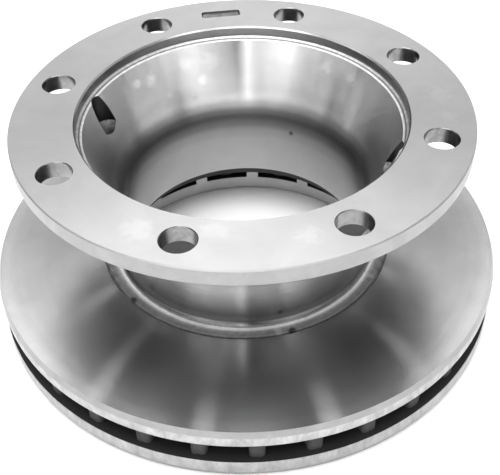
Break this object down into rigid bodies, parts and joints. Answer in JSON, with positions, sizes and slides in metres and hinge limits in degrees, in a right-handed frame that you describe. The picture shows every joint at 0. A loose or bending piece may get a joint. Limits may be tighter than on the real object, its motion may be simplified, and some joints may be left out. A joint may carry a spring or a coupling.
{
  "type": "brake disc",
  "caption": "Ventilated brake disc cast in one piece with a conical neck and a drilled bolting flange that centres on the hub by a register.",
  "frame": {"origin": "on the spin axis, at the free braking face, which is the lowest face", "axes": "+Z along the spin axis, from the free braking face towards the bolting flange; seen from above, the flange's pocket lies near +Y"},
  "size_m": [0.377, 0.3768, 0.159],
  "materials": {
    "turned_cast_iron": "bare cast iron, turned bright on the faces, flange, neck and rims, and left rough as cast between the ribs"
  },
  "bodies": {
    "root": {"brake_disc": "turned_cast_iron"}
  },
  "joints": []
}
